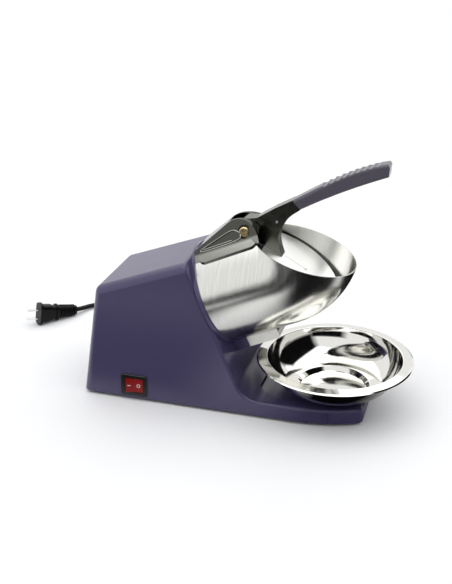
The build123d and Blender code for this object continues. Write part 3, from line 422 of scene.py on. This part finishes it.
for finish, members in nodeFinishes.items():
    for member in members:
        mesh = nodes[member].data
        mesh.materials.clear()
        mesh.materials.append(materials[finish])
print("materials assigned")

cordCurve.materials.append(materials["blackPvcCord"])
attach(mainsCord, "base")
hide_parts("cord_lead", "cord_coil")

# Ribs of the plug's strain relief, set out along its axis from the face of the plug. They stand
# a little further out than the solid's own, so that their teeth show from the side.
reliefSetting = {
    "face": (-134.8, 93.2, 16.0), "rear": (-98.0, 138.0, 7.5),
    "first": 32.9, "pitch": 4.0, "ribs": 6,
    "wide": (16.6, 14.8), "high": (20.4, 16.5), "thick": 1.5, "edge": 0.5,
}
plugFace = Vector(reliefSetting["face"]) * mm + Vector((heelShift, 0, 0))
plugRear = Vector(reliefSetting["rear"]) * mm + Vector((heelShift, 0, 0))
plugAxis = (plugRear - plugFace).normalized()
plugSide = Vector((plugAxis.y, -plugAxis.x, 0)).normalized()
plugTurn = Matrix((plugSide, plugAxis.cross(plugSide), plugAxis)).transposed().to_euler()
reliefRings = []
for index in range(reliefSetting["ribs"]):
    share = index / (reliefSetting["ribs"] - 1)
    wide, high = (start + (end - start) * share
                  for start, end in (reliefSetting["wide"], reliefSetting["high"]))
    station = reliefSetting["first"] + reliefSetting["pitch"] * index
    clearSelection()
    bpy.ops.mesh.primitive_cylinder_add(
        vertices=40, radius=0.5, depth=1, rotation=plugTurn,
        location=plugFace + plugAxis * station * mm)
    ring = bpy.context.object
    ring.scale = (wide * mm, high * mm, reliefSetting["thick"] * mm)
    settle(ring)
    edge = ring.modifiers.new("edge", "BEVEL")
    edge.width = reliefSetting["edge"] * mm
    edge.segments = 3
    applyModifiers(ring)
    reliefRings.append(ring)
for ring in reliefRings:
    ring.select_set(True)
bpy.ops.object.join()
reliefRibs = bpy.context.object
reliefRibs.name = "plug_relief_ribs"
reliefRibs.data.materials.append(materials["blackPvcPlug"])
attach(reliefRibs, "base")
print("plug ribs set")

# floor, backdrop light and lamps
floorSetting = {"size": 12, "level": -0.0002, "colour": "#fafafa", "faded": "#ffffff",
                "litRadius": 0.42, "paleRadius": 1.1}
clearSelection()
bpy.ops.mesh.primitive_plane_add(size=floorSetting["size"], location=(0, 0, floorSetting["level"]))
floor = bpy.context.object
floor.name = "studio_floor"
floorMaterial, floorTree, floorShader = startMaterial("paintedStudioFloor", {
    "Base Color": fromHex(floorSetting["colour"]), "Roughness": 0.9,
})
# Away from the machine the floor turns into the plain white backdrop.
floorPlace = addNode(floorTree, "ShaderNodeTexCoord")
floorReach = addNode(floorTree, "ShaderNodeVectorMath", {"operation": "LENGTH"})
floorTree.links.new(floorPlace.outputs["Object"], floorReach.inputs[0])
floorFade = addNode(floorTree, "ShaderNodeMapRange", {
    "interpolation_type": "SMOOTHSTEP",
    "From Min": floorSetting["litRadius"], "From Max": floorSetting["paleRadius"],
}, [(floorReach.outputs["Value"], "Value")])


def seenDirectly(tree):
    # camera, mirror and glass rays
    rays = addNode(tree, "ShaderNodeLightPath")
    total = rays.outputs["Is Camera Ray"]
    for kind in ("Is Glossy Ray", "Is Transmission Ray"):
        either = addNode(tree, "ShaderNodeMath", {"operation": "MAXIMUM"})
        tree.links.new(total, either.inputs[0])
        tree.links.new(rays.outputs[kind], either.inputs[1])
        total = either.outputs[0]
    return total


floorShare = addNode(floorTree, "ShaderNodeMath", {"operation": "MULTIPLY"})
floorTree.links.new(floorFade.outputs["Result"], floorShare.inputs[0])
floorTree.links.new(seenDirectly(floorTree), floorShare.inputs[1])
floorWhite = addNode(floorTree, "ShaderNodeEmission", {
    "Color": fromHex(floorSetting["faded"]), "Strength": 1.0,
})
floorMix = addNode(floorTree, "ShaderNodeMixShader")
floorTree.links.new(floorShare.outputs[0], floorMix.inputs[0])
floorTree.links.new(floorShader.outputs[0], floorMix.inputs[1])
floorTree.links.new(floorWhite.outputs[0], floorMix.inputs[2])
floorTree.links.new(floorMix.outputs[0], floorTree.nodes["Material Output"].inputs["Surface"])
floor.data.materials.append(floorMaterial)

# Matt surfaces get a dim, cool light from all round; seen directly or in a mirror it is white.
worldSetting = {"ambient": "#eef0f4", "ambientPower": 0.5, "backdrop": "#ffffff",
                "backdropPower": 1.0}
world = bpy.data.worlds.new("softStudio")
bpy.context.scene.world = world
world.use_nodes = True
worldTree = world.node_tree
for node in list(worldTree.nodes):
    worldTree.nodes.remove(node)
ambient = addNode(worldTree, "ShaderNodeBackground", {
    "Color": fromHex(worldSetting["ambient"]), "Strength": worldSetting["ambientPower"],
})
backdrop = addNode(worldTree, "ShaderNodeBackground", {
    "Color": fromHex(worldSetting["backdrop"]), "Strength": worldSetting["backdropPower"],
})
blend = addNode(worldTree, "ShaderNodeMixShader")
worldTree.links.new(seenDirectly(worldTree), blend.inputs[0])
worldTree.links.new(ambient.outputs[0], blend.inputs[1])
worldTree.links.new(backdrop.outputs[0], blend.inputs[2])
output = addNode(worldTree, "ShaderNodeOutputWorld")
worldTree.links.new(blend.outputs[0], output.inputs[0])

# Only the broad top light shows in polished steel; the side lights would burn it out.
lampAim = Vector((0, 0, 0.1))
lampSettings = [
    {"name": "left_softbox", "place": (-1.5, -1.0, 1.5), "size": 1.9, "power": 10},
    {"name": "right_softbox", "place": (1.7, 0.2, 1.3), "size": 1.2, "power": 5},
    {"name": "top_softbox", "place": (0.0, 0.4, 2.0), "size": 4.0, "power": 52, "mirrored": True},
]
for setting in lampSettings:
    clearSelection()
    bpy.ops.object.light_add(type="AREA", location=setting["place"])
    lamp = bpy.context.object
    lamp.name = setting["name"]
    lamp.data.size = setting["size"]
    lamp.data.energy = setting["power"]
    toward = lampAim - Vector(setting["place"])
    lamp.rotation_euler = toward.to_track_quat("-Z", "Y").to_euler()
    lamp.visible_glossy = setting.get("mirrored", False)
bpy.context.scene.view_settings.view_transform = "Standard"

# Black cards round the table give polished steel its dark bands. Only mirror rays meet them, and
# their edges fade out, so the bands have soft ends. A card with a tip stands, the rest lie flat.
cardSettings = [
    # low behind the camera: the dark patch on the far wall of the bowl
    {"name": "front_card", "centre": (0.9, -1.35, 0.2), "size": (2.2, 0.9), "tip": 90},
    # beside the nose: the dark right end of the drum and the underside of the bowl
    {"name": "nose_card", "centre": (0.22, -0.25, 0.002), "size": (0.4, 0.56)},
    # joins the dark band along the drum to its dark right end
    {"name": "middle_card", "centre": (0.08, -0.42, 0.0025), "size": (0.38, 0.28)},
    # before the side of the housing: keeps its violet deep, and darkens the drum's lower left
    {"name": "side_card", "centre": (-0.28, -0.23, 0.0015), "size": (0.5, 0.3)},
    # further out: the dark band along the drum and the dark face of the lever
    {"name": "table_card", "centre": (-0.1, -0.88, 0.001), "size": (2.0, 1.0)},
    # at the end of the table: softens the upper edge of that band
    {"name": "horizon_card", "centre": (-0.4, -1.75, 0.0), "size": (2.6, 0.14), "tip": 90},
    # behind the machine: the shade under the hood and on the drum's front lip
    {"name": "rear_card", "centre": (0.1, 0.31, 0.002), "size": (0.84, 0.62)},
    # right of the machine: the black streaks in the bowl and under the drum
    {"name": "right_card", "centre": (1.2, 0.25, 0.85), "size": (2.8, 1.7), "tip": 90, "turn": 90},
]
cardLook = {"colour": "#0d0d0e", "fadeFrom": 0.7}      # share of the way from middle to edge
cardMaterial, cardTree, cardShader = startMaterial("matteBlackCard", {
    "Base Color": fromHex(cardLook["colour"]), "Roughness": 1.0, "Specular IOR Level": 0.0,
})
cardPlace = addNode(cardTree, "ShaderNodeTexCoord")
cardCentre = addNode(cardTree, "ShaderNodeMapping", {
    "Location": (-1, -1, 0), "Scale": (2, 2, 1),
}, [(cardPlace.outputs["UV"], "Vector")])
cardOut = addNode(cardTree, "ShaderNodeVectorMath", {"operation": "ABSOLUTE"},
                  [(cardCentre.outputs["Vector"], "Vector")])
cardSides = addNode(cardTree, "ShaderNodeSeparateXYZ", {}, [(cardOut.outputs["Vector"], "Vector")])
cardFar = addNode(cardTree, "ShaderNodeMath", {"operation": "MAXIMUM"},
                  [(cardSides.outputs["X"], 0), (cardSides.outputs["Y"], 1)])
cardEdge = addNode(cardTree, "ShaderNodeMapRange", {
    "From Min": cardLook["fadeFrom"], "From Max": 1.0, "To Min": 1.0, "To Max": 0.0,
}, [(cardFar.outputs[0], "Value")])
cardTree.links.new(cardEdge.outputs["Result"], cardShader.inputs["Alpha"])
for setting in cardSettings:
    clearSelection()
    turned = (math.radians(setting.get("tip", 0)), 0, math.radians(setting.get("turn", 0)))
    bpy.ops.mesh.primitive_plane_add(size=1, location=setting["centre"], rotation=turned)
    card = bpy.context.object
    card.name = setting["name"]
    card.scale = (*setting["size"], 1)
    card.visible_camera = False
    card.visible_diffuse = False
    card.visible_shadow = False
    card.data.materials.append(cardMaterial)
print("floor, lamps and cards placed")

# rocker marks, printed on its face
markSetting = {"barLong": 3.6, "barThick": 0.65, "ringOut": 2.2, "ringIn": 1.65,
               "fromMiddle": 5.6, "before": 2, "lift": 0.03, "ink": 0.08}


def printOnRocker(mark, name):
    # The flat mark is pressed against the rocker's outer face and given the ink's thickness.
    mark.name = name
    settle(mark)
    press = mark.modifiers.new("press", "SHRINKWRAP")
    press.target = nodes["switch_rocker"]
    press.wrap_method = "PROJECT"
    press.use_project_x = False
    press.use_project_y = True
    press.use_project_z = False
    press.use_positive_direction = True
    press.use_negative_direction = True
    press.offset = markSetting["lift"] * mm
    ink = mark.modifiers.new("ink", "SOLIDIFY")
    ink.thickness = markSetting["ink"] * mm
    ink.offset = 1
    applyModifiers(mark)
    mark.data.materials.append(materials["whiteMarkInk"])
    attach(mark, "rocker")


rockerLow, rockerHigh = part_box("switch_rocker")
rockerMid = (rockerLow + rockerHigh) / 2
markY = rockerLow.y - markSetting["before"] * mm
faceOn = (math.radians(90), 0, 0)
clearSelection()
bpy.ops.mesh.primitive_grid_add(
    x_subdivisions=6, y_subdivisions=2, size=1,
    location=(rockerMid.x - markSetting["fromMiddle"] * mm, markY, rockerMid.z), rotation=faceOn)
bar = bpy.context.object
bar.scale = (markSetting["barLong"] * mm, markSetting["barThick"] * mm, 1)
printOnRocker(bar, "rocker_on_mark")
clearSelection()
bpy.ops.mesh.primitive_circle_add(
    vertices=48, radius=markSetting["ringOut"] * mm, fill_type="NGON",
    location=(rockerMid.x + markSetting["fromMiddle"] * mm, markY, rockerMid.z), rotation=faceOn)
ring = bpy.context.object
bpy.ops.object.mode_set(mode="EDIT")
bpy.ops.mesh.select_all(action="SELECT")
bpy.ops.mesh.inset(thickness=(markSetting["ringOut"] - markSetting["ringIn"]) * mm)
bpy.ops.mesh.delete(type="FACE")
bpy.ops.object.mode_set(mode="OBJECT")
printOnRocker(ring, "rocker_off_mark")
print("rocker marks printed")

# beads pressed into the bracket's cheeks; their light colour is a painted highlight along the
# pocket's edges
beadSetting = {
    "radius": 0.42,
    "drumRadius": drumFrame["radius"],
    "footAngle": 36,        # degrees from the drum's top line to the cheek's foot
    "topHalf": 14,
    "height": 15.5,
    "foot": 4,              # the outline's zero, below the drum's top line
    "cut": 0.18,            # share of each side that a rounding takes off
    "rounds": 3,
    "outline": [(9, 1.2), (60.5, 1.2), (61.2, 9.4), (53, 15.6), (45, 14.8), (9, 4.4)],
    "lowerLine": [(12.5, 3.6), (50, 3.6)],
}


def cheekPoint(setting, side, along, up):
    # a point on the outer face of a cheek, which leans in towards the top
    foot = math.radians(setting["footAngle"])
    footHalf = setting["drumRadius"] * math.sin(foot)
    footHigh = setting["drumRadius"] * math.cos(foot)
    topHigh = setting["drumRadius"] + setting["height"]
    slope = (footHalf - setting["topHalf"]) / (topHigh - footHigh)
    lean = math.atan(slope)
    w = setting["drumRadius"] - setting["foot"] + up * math.cos(lean)
    half = footHalf - (w - footHigh) * slope
    return drumPoint(along, side * half, w)


def pressBead(name, points, closed):
    line = bpy.data.curves.new(name, "CURVE")
    line.dimensions = "3D"
    spline = line.splines.new("POLY")
    spline.points.add(len(points) - 1)
    for knot, place in zip(spline.points, points):
        knot.co = (*place, 1)
    spline.use_cyclic_u = closed
    line.bevel_depth = beadSetting["radius"] * mm
    line.bevel_resolution = 3
    line.use_fill_caps = True
    bead = bpy.data.objects.new(name, line)
    bpy.context.scene.collection.objects.link(bead)
    activate(bead)
    bpy.ops.object.convert(target="MESH")
    bead = bpy.context.object
    bpy.ops.object.shade_smooth()
    bead.data.materials.clear()
    bead.data.materials.append(materials["paintedHighlightBead"])
    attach(bead, "base")


def softened(corners, cut, rounds):
    # corner cutting turns a closed line's few corners into a rounded one
    for _ in range(rounds):
        fresh = []
        for (x1, y1), (x2, y2) in zip(corners, corners[1:] + corners[:1]):
            fresh.append((x1 + (x2 - x1) * cut, y1 + (y2 - y1) * cut))
            fresh.append((x2 - (x2 - x1) * cut, y2 - (y2 - y1) * cut))
        corners = fresh
    return corners


rounded = softened(beadSetting["outline"], beadSetting["cut"], beadSetting["rounds"])
for side, label in ((-1, "near"), (1, "far")):
    for name, line, closed in (("cheek_bead_", rounded, True),
                               ("cheek_line_", beadSetting["lowerLine"], False)):
        points = [cheekPoint(beadSetting, side, along, up) for along, up in line]
        pressBead(name + label, points, closed)
print("bracket beads pressed")

# rivet through the lever arm
armRivetSetting = {"pivot": (66, 0, 64), "fromPivot": (33.5, 9.5), "armHalf": 8, "radius": 1.5,
                   "high": 0.7}
pivot = drumPoint(*armRivetSetting["pivot"])
rivetAlong, rivetUp = armRivetSetting["fromPivot"]
for side, label in ((-1, "near"), (1, "far")):
    clearSelection()
    bpy.ops.mesh.primitive_uv_sphere_add(
        segments=24, ring_count=12, radius=armRivetSetting["radius"] * mm,
        location=(pivot.x + rivetAlong * mm, side * armRivetSetting["armHalf"] * mm,
                  pivot.z + rivetUp * mm),
        rotation=(math.radians(90), 0, 0))
    rivet = bpy.context.object
    rivet.name = "arm_rivet_" + label
    rivet.scale = (1, 1, armRivetSetting["high"] / armRivetSetting["radius"])
    settle(rivet)
    bpy.ops.object.shade_smooth()
    rivet.data.materials.append(materials["zincScrewSteel"])
    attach(rivet, "lever")
print("arm rivets set")

# rolled edge of the bowl's rim
rimSetting = {"centreX": 297, "radius": 90.3, "bead": 1.0, "high": 57.9}
clearSelection()
bpy.ops.mesh.primitive_torus_add(
    major_segments=144, minor_segments=14, major_radius=rimSetting["radius"] * mm,
    minor_radius=rimSetting["bead"] * mm,
    location=framePoint(rimSetting["centreX"], 0, rimSetting["high"]))
bowlRoll = bpy.context.object
bowlRoll.name = "bowl_rolled_edge"
settle(bowlRoll)
bpy.ops.object.shade_smooth()
bowlRoll.data.materials.append(materials["mirrorBowlStainless"])
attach(bowlRoll, "bowl_body")
print("bowl edge rolled")
